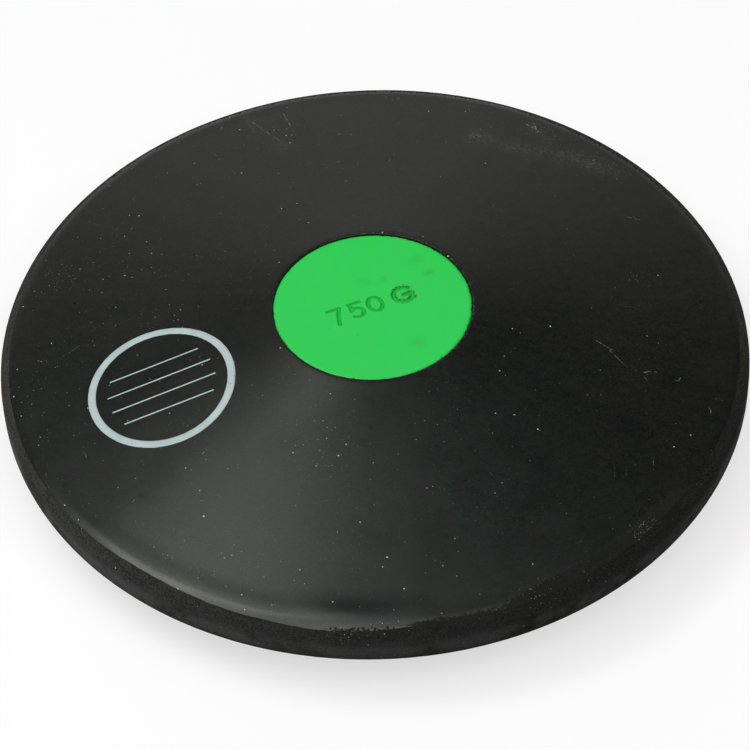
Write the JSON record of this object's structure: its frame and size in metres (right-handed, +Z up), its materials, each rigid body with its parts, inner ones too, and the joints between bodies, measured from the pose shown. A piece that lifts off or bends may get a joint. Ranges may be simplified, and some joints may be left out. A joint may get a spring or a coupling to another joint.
{
  "type": "throwing discus",
  "caption": "Round moulded rubber throwing discus with tapered faces, a buffed rim, a coloured plate sunk in each face and a hidden steel weight.",
  "frame": {"origin": "middle of the flat land ring that the discus rests on", "axes": "+Z up along the axis of the disc, +X the way the sunk mark on the upper plate reads"},
  "size_m": [0.17, 0.17, 0.033],
  "materials": {
    "black_rubber": "moulded black rubber, satin on the tapered faces and matt and granular on the buffed rim",
    "plate_rubber": "moulded green rubber, satin, with faint dark smudges",
    "core_steel": "plain cut steel plate, hidden inside",
    "print_ink": "thin printed ring in pale blue grey ink on the upper face"
  },
  "bodies": {
    "root": {"upper_body": "black_rubber", "lower_body": "black_rubber", "core_weight": "core_steel", "upper_centre_plate": "plate_rubber", "lower_centre_plate": "plate_rubber"}
  },
  "joints": []
}
